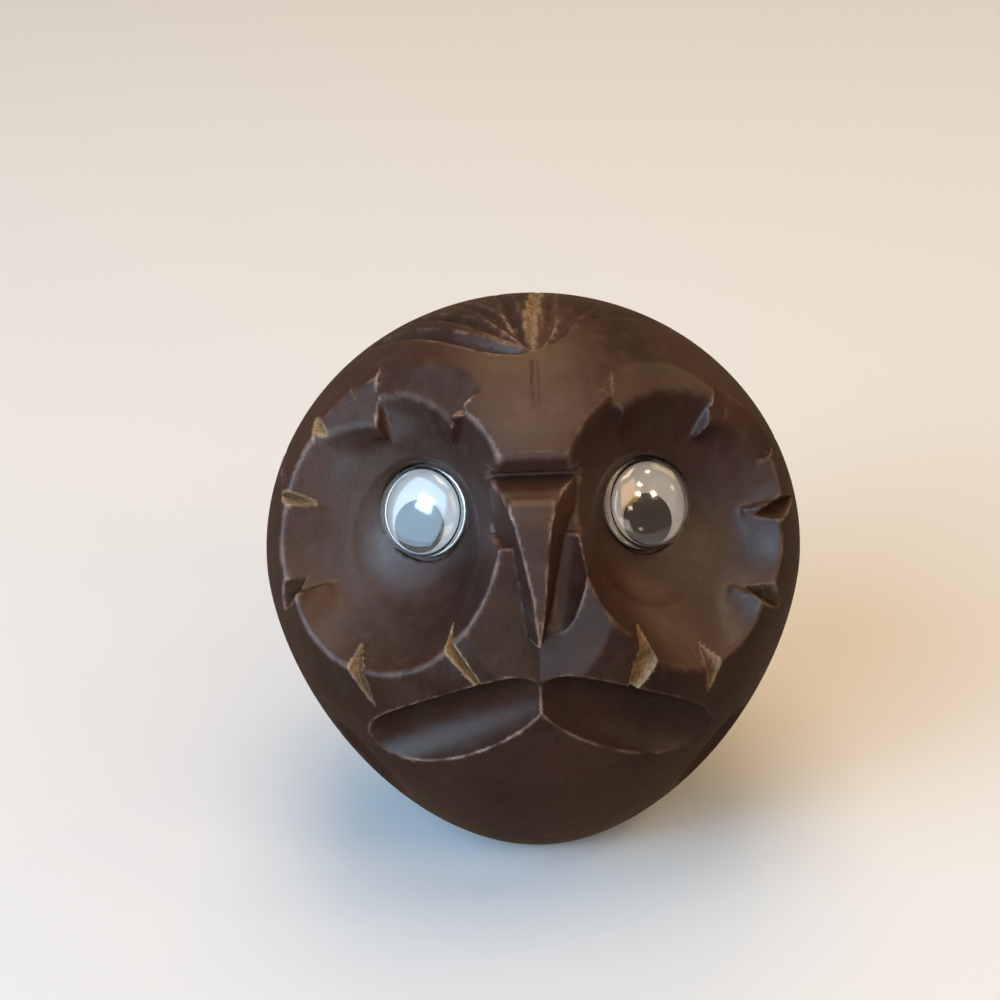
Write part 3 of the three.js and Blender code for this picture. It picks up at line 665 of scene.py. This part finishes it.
def surface_cut(path, width, depth, bare=0.0):
    """A V-shaped cut that follows the egg along a path of surface points and runs out at its ends."""
    shares = np.linspace(0, 1, PATH_STEPS + 1)
    points = np.array([path(share) for share in shares])
    normals = slope_of(egg, points)
    fullness = np.minimum(1, END_FULLNESS + END_FILLING * np.sqrt(shares * (1 - shares)))
    centre = points.mean(0)
    reach = np.linalg.norm(points - centre, axis=1).max() + width

    def distance(p):
        apart = (p * p).sum(1)[:, None] + (points * points).sum(1) - 2 * (p @ points.T)
        nearest = np.clip(apart.argmin(1), 1, PATH_STEPS - 1)
        before, after = points[nearest - 1], points[nearest + 1]
        step = after - before
        along = np.clip(((p - before) * step).sum(1) / (step * step).sum(1), 0, 1)
        aside = p - before - step * along[:, None]
        inwards = (aside * normals[nearest]).sum(1)
        lateral = np.sqrt(np.maximum((aside * aside).sum(1) - inwards * inwards, 0))
        full = fullness[nearest - 1] + (fullness[nearest + 1] - fullness[nearest - 1]) * along
        slope = depth / (width / 2)
        return (lateral * slope - egg(p) - depth * full) / hypot(1, slope)

    return Cut(distance, centre, reach, CUT_WEAR, bare)


def crown_flute(heading, end_heading, start, end, width, depth, bare):
    """A flute that leaves the crown's apex on one heading and bends to another."""

    def path(share):
        angle = radians(end_heading + (heading - end_heading) * (1 - share) ** 3)
        run = start + (end - start) * share
        x, y = CROWN_APEX[0] + sin(angle) * run, CROWN_APEX[1] + cos(angle) * run
        return leave_egg(np.array([x, y, EGG_WIDEST]), np.array([0, 0, 1]))

    return surface_cut(path, width, depth, bare)


def neck_cut():
    """The neck line runs from behind one dish round the back to the other and dips in the middle."""

    def path(share):
        yaw = NECK["start_yaw"] + (360 - 2 * NECK["start_yaw"]) * share
        dip = sin(share * pi) ** 2
        return egg_at(yaw, NECK["side"] - (NECK["side"] - NECK["back"]) * dip)

    return surface_cut(path, NECK["width"], NECK["depth"])


def wing_cut(side, number):
    """The rear edge of a folded wing (0), or a feather cut beside it, which run down to its tip."""
    inset = number / (WING_FEATHERS + 1)
    start_yaw = WING["rear_yaw"] + (WING["front_yaw"] - WING["rear_yaw"]) * inset
    top = WING["top"] - FEATHER["fall"] * inset
    tip = WING["tip"] + FEATHER["rise"] * inset
    width, depth = WING["width"], WING["depth"]
    if number > 0:
        top -= FEATHER["lower"]
        width *= FEATHER["width"]
        depth *= FEATHER["depth"]

    def path(share):
        yaw = start_yaw + (WING["tip_yaw"] - start_yaw) * share * share
        return egg_at(side * yaw, top + (tip - top) * share)

    return surface_cut(path, width, depth)


def tail_cut(turn):
    """A cut down the tail, from -1 on one side to 1 on the other."""

    def path(share):
        narrowed = TAIL["top_share"] + (1 - TAIL["top_share"]) * share
        yaw = 180 + turn * TAIL["spread"] * narrowed
        return egg_at(yaw, TAIL["top"] + (TAIL["foot"] - TAIL["top"]) * share)

    return surface_cut(path, TAIL["width"], TAIL["depth"])


def bore_cut(side):
    """The flat-bottomed hole that an eye sits in."""
    axis = direction(side * EYE["yaw"], EYE["pitch"])
    centre = eye_centre(side)

    def distance(p):
        return rod(p, centre, axis, BORE["radius"], -BORE["depth"], BORE["height"])

    return Cut(distance, centre, BORE["reach"], FACET_WEAR, 0.0)


def beak(p):
    """The beak stands on the ridge between the dishes: a tapering wedge with a flat top."""
    z = p[:, 2]
    back = p[:, 1] + EGG_HALF_DEPTH * egg_share(z)
    solid = larger(egg(p) - BEAK_PROUD, z - BEAK_TOP, BEAK_BLEND["top"])
    solid = larger(solid, (z - BEAK_BEVEL - back) * sqrt(0.5), BEAK_BLEND["bevel"])
    flare = radians(RIDGE["flare"])
    for side in SIDES:
        solid = larger(solid, beak_side(p, side), BEAK_BLEND["side"])
        ridge = (side * p[:, 0] - RIDGE["half"] - back * tan(flare)) * cos(flare)
        solid = larger(solid, ridge, BEAK_BLEND["ridge"])
    return np.maximum(solid, np.maximum(back - RIDGE["depth"], BEAK_FOOT - z))


dishes = [Dish(side) for side in SIDES]
parings = [paring_cut(dish, *paring) for dish in dishes for paring in PARINGS[dish.side]]
first_cuts = [
    *(cheek_cut(side) for side in SIDES),
    *parings,
    *(dish_cut(dish) for dish in dishes),
    brow_cut(),
    channel_cut(),
    *(scoop_cut(side) for side in SIDES),
    *(notch_cut(dish, *notch) for dish in dishes for notch in NOTCHES[dish.side]),
]
later_cuts = [
    *(bore_cut(side) for side in SIDES),
    *(wing_front_cut(side) for side in SIDES),
    *(crown_flute(*flute) for flute in CROWN_FLUTES),
    neck_cut(),
    *(wing_cut(side, number) for side in SIDES for number in range(WING_FEATHERS + 1)),
    *(tail_cut(turn) for turn in np.linspace(-1, 1, TAIL_CUTS)),
]


def take(wood, p, cut, margin, bare):
    """Takes one cut out of the wood where the points are near it."""
    near = np.flatnonzero(((p - cut.centre) ** 2).sum(1) < (cut.reach + margin) ** 2)
    if len(near):
        removed = -cut.distance(p[near])
        if bare is not None:
            fresh = removed > wood[near] - BARE_MARGIN
            bare[near[fresh]] = cut.bare
        wood[near] = larger(wood[near], removed, cut.worn)


def carving(p, margin=1.0, bare=None):
    """Distance from the carved wood's surface: below zero in the wood."""
    wood = larger(egg(p), -p[:, 2], FOOT_ROUNDING)
    for cut in first_cuts:
        take(wood, p, cut, margin, bare)
    near = np.flatnonzero(((p - BEAK_MIDDLE) ** 2).sum(1) < (BEAK_REACH + margin) ** 2)
    if len(near):
        wood[near] = smaller(wood[near], beak(p[near]), FACET_WEAR)
    for cut in later_cuts:
        take(wood, p, cut, margin, bare)
    return wood


# Meshing


def placed(index):
    """The point of a place in the grid, whose layers widen from front to back."""
    scale = np.exp(GRID_RATE * index[:, 1])
    x = (GRID_LOW[0] + index[:, 0] * CELL) * scale
    y = GRID_FRONT + (scale - 1) * (GRID_BACK - GRID_FRONT) / SPREAD
    z = EGG_WIDEST + (GRID_LOW[2] + index[:, 2] * CELL) * scale
    return np.stack([x, y, z], 1)


def index_of(p):
    """The place in the grid of a point."""
    scale = 1 + (p[:, 1] - GRID_FRONT) * SPREAD / (GRID_BACK - GRID_FRONT)
    i = (p[:, 0] / scale - GRID_LOW[0]) / CELL
    k = ((p[:, 2] - EGG_WIDEST) / scale - GRID_LOW[2]) / CELL
    return np.stack([i, np.log(scale) / GRID_RATE, k], 1)


def halved(values):
    """A grid of values with a middle one put between each two along every axis."""
    for axis in range(3):
        old = np.moveaxis(values, axis, 0)
        new = np.empty((2 * len(old) - 1, *old.shape[1:]))
        new[::2] = old
        new[1::2] = (old[:-1] + old[1:]) / 2
        values = np.moveaxis(new, 0, axis)
    return np.ascontiguousarray(values)


def sampled():
    """The carving at every grid point: exact near the surface, blended from coarser points elsewhere."""
    stride = COARSEST
    ticks = [np.arange(0, cells + 1, stride) for cells in GRID_CELLS]
    corners = np.stack(np.meshgrid(*ticks, indexing="ij"), -1)
    wide = CELL * (1 + SPREAD)
    values = carving(placed(corners.reshape(-1, 3)), BAND * stride * wide).reshape(corners.shape[:3])
    while stride > 1:
        stride //= 2
        values = halved(values)
        layer = np.exp(GRID_RATE * stride * np.arange(values.shape[1]))
        near = np.argwhere(np.abs(values) < BAND * stride * CELL * layer[None, :, None])
        values[tuple(near.T)] = carving(placed(near * stride), BAND * stride * wide)
    return values


def crossings(values):
    """Axis, lower end, crossing and direction of each grid edge that the surface crosses."""
    inside = values < 0
    found = []
    for axis in range(3):
        low = tuple(slice(0, -1) if i == axis else slice(None) for i in range(3))
        high = tuple(slice(1, None) if i == axis else slice(None) for i in range(3))
        start = np.argwhere(inside[low] != inside[high])
        end = start.copy()
        end[:, axis] += 1
        before, after = values[tuple(start.T)], values[tuple(end.T)]
        found.append((np.full(len(start), axis), start, before, after))
    axis, start, before, after = (np.concatenate(part) for part in zip(*found))
    step = np.eye(3)[axis]
    outward = before < 0
    low, high = np.zeros(len(axis)), np.ones(len(axis))
    for _ in range(CROSSING_ROUNDS):
        share = low + (high - low) * before / (before - after)
        middle = carving(placed(start + step * share[:, None]))
        ahead = (middle < 0) == outward
        low, before = np.where(ahead, share, low), np.where(ahead, middle, before)
        high, after = np.where(ahead, high, share), np.where(ahead, after, middle)
    share = low + (high - low) * before / (before - after)
    return axis, start, placed(start + step * share[:, None]), outward


def meshed():
    """Corners and triangles of the carving: one corner in each crossed cell, on its creases."""
    axis, start, point, outward = crossings(sampled())
    normal = slope_of(carving, point)
    offsets = []
    for a in range(3):
        b, c = np.eye(3, dtype=int)[(a + 1) % 3], np.eye(3, dtype=int)[(a + 2) % 3]
        offsets.append([-b - c, -c, 0 * b, -b])
    cells = start[:, None] + np.array(offsets)[axis]
    row = 2 * GRID_CELLS[2]
    layer = 2 * GRID_CELLS[1] * row
    keys = (cells * (layer, row, 1)).sum(2)
    kept, corner = np.unique(keys, return_inverse=True)
    corner = corner.reshape(-1, 4)
    cell = np.zeros((len(kept), 3))
    cell[corner.ravel()] = cells.reshape(-1, 3)

    def gathered(amount):
        return np.bincount(corner.ravel(), np.repeat(amount, 4), len(kept))

    count = gathered(np.ones(len(axis)))
    middle = np.stack([gathered(point[:, i]) for i in range(3)], 1) / count[:, None]
    along = (normal * point).sum(1)
    square = np.array([[gathered(normal[:, i] * normal[:, j]) for j in range(3)] for i in range(3)])
    square = np.moveaxis(square, 2, 0)
    level = np.stack([gathered(normal[:, i] * along) for i in range(3)], 1)
    level -= np.einsum("nij,nj->ni", square, middle)
    hold = CORNER_HOLD * count[:, None, None] * np.eye(3)
    corners = middle + np.linalg.solve(square + hold, level[..., None])[..., 0]
    corners = placed(np.clip(index_of(corners), cell, cell + 1))

    quads = np.where(outward[:, None], corner, corner[:, ::-1])
    other = np.roll(quads, 1, axis=1)
    bend, other_bend = (
        np.abs(carving((corners[q[:, 0]] + corners[q[:, 2]]) / 2)) for q in (quads, other)
    )
    quads = np.where((bend <= other_bend)[:, None], quads, other)
    triangles = np.concatenate([quads[:, [0, 1, 2]], quads[:, [0, 2, 3]]])
    return corners, triangles


def convexity(corners):
    """How far the surface falls away round each corner, as a share of how far round it is sampled."""
    normal = slope_of(carving, corners)
    steep = np.abs(normal[:, 2:]) > STEEP
    aside = np.cross(normal, np.where(steep, (1, 0, 0), (0, 0, 1)))
    aside /= np.linalg.norm(aside, axis=1, keepdims=True)
    other = np.cross(normal, aside)
    total = np.zeros(len(corners))
    for angle in np.arange(WEAR_SAMPLES) * 2 * pi / WEAR_SAMPLES:
        total += carving(corners + (aside * cos(angle) + other * sin(angle)) * WEAR_SAMPLE)
    return total / WEAR_SAMPLES / WEAR_SAMPLE


def wear_and_highlight(corners):
    """How worn the wood is on sharp outer edges, with a painted highlight that makes them palest on the left
    of the face.
    """
    sharp = np.clip((convexity(corners) - WEAR_FROM) / WEAR_RANGE, 0, 1)
    outside = egg(corners)
    for paring in parings:
        outside = np.maximum(outside, -paring.distance(corners))
    below = np.where(np.abs(corners[:, 0]) > WEAR_FACE, -outside, 0)
    sharp *= 1 - np.clip((below - WEAR_DEPTH) / WEAR_DEPTH, 0, 1)
    # Painted highlight: the edges are paler on the left, where the window light falls
    left = np.clip((HIGHLIGHT_RIGHT - corners[:, 0]) / HIGHLIGHT_FADE, 0, 1)
    behind = np.clip((corners[:, 1] - WEAR_BEHIND[0]) / (WEAR_BEHIND[1] - WEAR_BEHIND[0]), 0, 1)
    return sharp * (LEAST_WEAR_AND_HIGHLIGHT + (1 - LEAST_WEAR_AND_HIGHLIGHT) * left) * (1 - behind + LEAST_WEAR_AND_HIGHLIGHT * behind)


# Materials


def feed(tree, sockets, values):
    """Gives each socket its value: a link from another socket, or a plain one."""
    for key, value in values.items():
        if isinstance(value, bpy.types.NodeSocket):
            tree.links.new(value, sockets[key])
        else:
            sockets[key].default_value = value


def node(tree, kind, inputs=None, **settings):
    made = tree.nodes.new(kind)
    for name, value in settings.items():
        setattr(made, name, value)
    feed(tree, made.inputs, inputs or {})
    return made


def material(name, inputs=None):
    """A material with one shader, which starts with the inputs given."""
    made = bpy.data.materials.new(name)
    made.use_nodes = True
    tree = made.node_tree
    tree.nodes.clear()
    shader = node(tree, "ShaderNodeBsdfPrincipled", inputs)
    node(tree, "ShaderNodeOutputMaterial", {"Surface": shader.outputs["BSDF"]})
    return made, tree, shader


def mixed(tree, factor, first, second):
    """A blend of two colours by a factor."""
    made = node(tree, "ShaderNodeMix", {0: factor, 6: first, 7: second}, data_type="RGBA", clamp_factor=True)
    return made.outputs[2]


def calculated(tree, operation, first, second):
    made = node(tree, "ShaderNodeMath", {0: first, 1: second}, operation=operation, use_clamp=True)
    return made.outputs[0]


def ranged(tree, value, low, high, to_low, to_high):
    """A value moved from one range to another, and kept inside that."""
    limits = {"From Min": low, "From Max": high, "To Min": to_low, "To Max": to_high}
    made = node(tree, "ShaderNodeMapRange", {"Value": value, **limits}, clamp=True)
    return made.outputs["Result"]


def noise(tree, places, scale, detail, roughness):
    inputs = {"Vector": places, "Scale": scale, "Detail": detail, "Roughness": roughness}
    return node(tree, "ShaderNodeTexNoise", inputs).outputs["Fac"]


def attribute(tree, name):
    """What `paint` has kept under a name."""
    return node(tree, "ShaderNodeAttribute", attribute_name=name).outputs["Fac"]


def stained_wood():
    """Dark red-brown stained wood with fine upright grain, worn edges that carry a painted highlight on the
    left, and bare wood in some cuts.
    """
    made, tree, shader = material("stained_wood_finish")
    places = node(tree, "ShaderNodeTexCoord").outputs["Object"]
    stretched = node(tree, "ShaderNodeMapping", {"Vector": places, "Scale": GRAIN_STRETCH}).outputs["Vector"]
    noises = {name: noise(tree, places, *settings) for name, settings in WOOD_NOISES.items()}
    noises["grain"] = noise(tree, stretched, *GRAIN_NOISE)

    colour = STAIN
    for name, low, high, most, layer in STAIN_LAYERS:
        colour = mixed(tree, ranged(tree, noises[name], low, high, 0, most), colour, layer)
    # Worn edges, which are also a painted highlight on the left, where the worn values are highest
    shown = ranged(tree, noises["mottle"], *RUBBED_AND_HIGHLIT_MOTTLE)
    rubbed_and_highlit = calculated(tree, "MULTIPLY", attribute(tree, "worn"), shown)
    colour = mixed(tree, rubbed_and_highlit, colour, RUBBED_AND_HIGHLIT_COLOUR)
    fibres = mixed(tree, ranged(tree, noises["grain"], *BARE_GRAIN), BARE_COLOUR, BARE_GRAIN_COLOUR)
    shown = ranged(tree, noises["mottle"], *BARE_MOTTLE)
    bared = calculated(tree, "MULTIPLY", attribute(tree, "bare"), shown)
    colour = mixed(tree, bared, colour, fibres)

    roughness = ranged(tree, noises["mottle"], *WOOD_ROUGHNESS)
    roughness = calculated(tree, "ADD", roughness, ranged(tree, bared, *BARE_ROUGHNESS))
    height = 0
    for name, limits in WOOD_RELIEF.items():
        height = calculated(tree, "ADD", height, ranged(tree, noises[name], *limits))
    normal = node(tree, "ShaderNodeBump", {"Height": height, **WOOD_BUMP}).outputs["Normal"]
    feed(tree, shader.inputs, {"Base Color": colour, "Roughness": roughness, "Normal": normal})
    return made


def plain_plastic(name, colour, other, least_rough):
    made, tree, shader = material(name)
    places = node(tree, "ShaderNodeTexCoord").outputs["Object"]
    haze = noise(tree, places, *HAZE_NOISE)
    colour = mixed(tree, ranged(tree, haze, *HAZE_COLOUR), colour, other)
    roughness = ranged(tree, haze, *HAZE_ROUGHNESS, least_rough, least_rough + HAZE_ROUGHER)
    feed(tree, shader.inputs, {"Base Color": colour, "Roughness": roughness})
    return made


# Pieces


def added(name, data):
    made = bpy.data.objects.new(name, data)
    bpy.context.scene.collection.objects.link(made)
    return made


def piece(name, corners, faces, finish):
    """A smooth mesh object from corners in millimetres."""
    mesh = bpy.data.meshes.new(name)
    mesh.from_pydata((np.asarray(corners) * MM).tolist(), [], np.asarray(faces).tolist())
    mesh.materials.append(finish)
    mesh.shade_smooth()
    return added(name, mesh)


def paint(mesh, name, values):
    """Keeps a value for each corner of a mesh, for its material to read."""
    layer = mesh.attributes.new(name, "FLOAT", "POINT")
    layer.data.foreach_set("value", np.asarray(values, np.float32))


def thin(made):
    """Merges triangles where the surface is even until no more than the most are left."""
    modifier = made.modifiers.new("thinning", "DECIMATE")
    modifier.ratio = min(MOST_TRIANGLES / len(made.data.polygons), 1)
    graph = bpy.context.evaluated_depsgraph_get()
    kept = bpy.data.meshes.new_from_object(made.evaluated_get(graph))
    made.modifiers.clear()
    made.data = kept


def owl_body(finish):
    """The carved wood, with how worn it is at every corner, partly a painted highlight that is palest on the
    left, and how bare.
    """
    body = piece("owl_body", *meshed(), finish)
    thin(body)
    corners = np.empty(3 * len(body.data.vertices), np.float32)
    body.data.vertices.foreach_get("co", corners)
    corners = corners.reshape(-1, 3).astype(float) / MM
    bare = np.zeros(len(corners))
    carving(corners, bare=bare)
    body.data.set_sharp_from_angle(angle=radians(CREASE_ANGLE))
    # The worn values: wear on sharp edges, with a painted highlight that makes the left edges paler
    paint(body.data, "worn", wear_and_highlight(corners))
    paint(body.data, "bare", bare)
    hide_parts("carved_body")
    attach(body, "root")
    print("carving:", len(corners), "corners,", len(body.data.polygons), "triangles")


def turned(name, profile, segments, crease, place, axes, finish):
    """A ring of faces round an axis: the profile is closed, as radius and height pairs."""
    corners = []
    right, up, out = axes
    for turn in np.arange(segments) * 2 * pi / segments:
        for radius, height in profile:
            around = (right * cos(turn) + up * sin(turn)) * radius
            corners.append(place + around + out * height)
    count = len(profile)
    faces = []
    for i in range(segments):
        here, there = i * count, (i + 1) % segments * count
        for j in range(count):
            k = (j + 1) % count
            faces.append((here + j, there + j, there + k, here + k))
    made = piece(name, corners, faces, finish)
    merge(made)
    made.data.set_sharp_from_angle(angle=radians(crease))
    return made


def merge(made):
    """Joins corners that lie on each other, such as those on a turned shape's axis."""
    grid = bmesh.new()
    grid.from_mesh(made.data)
    bmesh.ops.remove_doubles(grid, verts=grid.verts, dist=SAME_CORNER)
    bmesh.ops.recalc_face_normals(grid, faces=grid.faces)
    grid.to_mesh(made.data)
    grid.free()


def crown_arc(shoulder, radius, crown, start, end):
    """Radius and height pairs over a dome, between two angles up from its shoulder."""
    angles = np.radians(np.linspace(start, end, CROWN_STEPS + 1))
    return [(radius * cos(angle), shoulder + crown * sin(angle)) for angle in angles]


def dome_shell(word, centre, axes, finish):
    """The hollow clear dome of an eye, open towards its backing."""
    radius, wall = DOME["radius"], DOME["wall"]
    shoulder, crown = DOME["shoulder"], DOME["crown"]
    outside = crown_arc(shoulder, radius, crown, 90, 0)
    inside = crown_arc(shoulder, radius - wall, crown - wall, 0, 90)
    profile = outside + [(radius, DOME["low"]), (radius - wall, DOME["low"])] + inside
    shell = turned(f"{word}_dome_shell", profile, DOME_SIDES, DOME_CREASE, centre, axes, finish)
    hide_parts(f"{word}_eye_dome")
    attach(shell, "root")


def pupil_disc(word, centre, axes, finish):
    """The loose pupil of an eye, which has slid down to the wall of its dome."""
    radius, edge, aside = PUPIL["radius"], PUPIL["edge"], PUPIL["aside"]
    travel = DOME["radius"] - DOME["wall"] - radius - PUPIL["clear"]
    middle = centre - axes[0] * aside - axes[1] * sqrt(travel**2 - aside**2)
    low = BACKING_TOP + PUPIL["above"]
    high = low + PUPIL["thickness"]
    profile = [(0, low), (radius - edge, low), (radius, low + edge)]
    profile += [(radius, high - edge), (radius - edge, high), (0, high)]
    pupil = turned(f"{word}_pupil", profile, PUPIL_SIDES, PUPIL_CREASE, middle, axes, finish)
    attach(pupil, "root")


def wiggle_eye(side, word, white, clear, black):
    """Finishes an eye: its packed backing, and the dome and pupil made round it."""
    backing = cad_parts[f"{word}_eye_backing"]
    backing.data.materials.clear()
    backing.data.materials.append(white)
    centre = eye_centre(side)
    axes = axes_of(direction(side * EYE["yaw"], EYE["pitch"]))
    dome_shell(word, centre, axes, clear)
    pupil_disc(word, centre, axes, black)


def floor(finish):
    """The floor, which throws no light and no reflection onto the owl."""
    half = FLOOR_HALF
    corners = [(-half, -half, 0), (half, -half, 0), (half, half, 0), (-half, half, 0)]
    plane = piece("pale_floor", corners, [(0, 1, 2, 3)], finish)
    plane.visible_diffuse = plane.visible_glossy = False


def soft_light(name, yaw, pitch, distance, size, power, colour):
    """A soft light that faces the middle of the owl from a direction."""
    data = bpy.data.lights.new(name, "AREA")
    data.shape = "RECTANGLE"
    data.size, data.size_y = size[0] * MM, size[1] * MM
    data.energy = power
    data.color = colour
    made = added(name, data)
    away = Vector(direction(yaw, pitch))
    made.location = (Vector(EGG_MIDDLE) + away * distance) * MM
    made.rotation_euler = away.to_track_quat("Z", "Y").to_euler()


def lights():
    for name, settings in LIGHTS.items():
        soft_light(name, *settings)
    for i, (yaw, pitch, power) in enumerate(LAMPS):
        soft_light(f"lamp_{i}", yaw, pitch, LAMP["distance"], LAMP["size"], power, LAMP["colour"])
    world = bpy.data.worlds.new("pale_room")
    world.use_nodes = True
    feed(world.node_tree, world.node_tree.nodes["Background"].inputs, WORLD)
    bpy.context.scene.world = world


def camera():
    data = bpy.data.cameras.new("camera")
    data.lens = CAMERA["lens"]
    made = added("camera", data)
    back = Vector(direction(0, CAMERA["elevation"]))
    place = (Vector(CAMERA["target"]) + back * CAMERA["distance"]) * MM
    tilt = Matrix.Rotation(radians(90 - CAMERA["elevation"]), 4, "X")
    roll = Matrix.Rotation(radians(CAMERA["roll"]), 4, "Z")
    made.matrix_world = Matrix.Translation(place) @ tilt @ roll
    bpy.context.scene.camera = made


camera()
lights()
floor(material("pale_floor", PALE_FLOOR)[0])
owl_body(stained_wood())
white = plain_plastic("white_plastic_finish", *WHITE)
black = plain_plastic("black_plastic_finish", *BLACK)
clear = material("clear_plastic_finish", CLEAR_PLASTIC)[0]
for side, word in zip(SIDES, ("left", "right")):
    wiggle_eye(side, word, white, clear, black)
bpy.context.scene.view_settings.view_transform = "Standard"
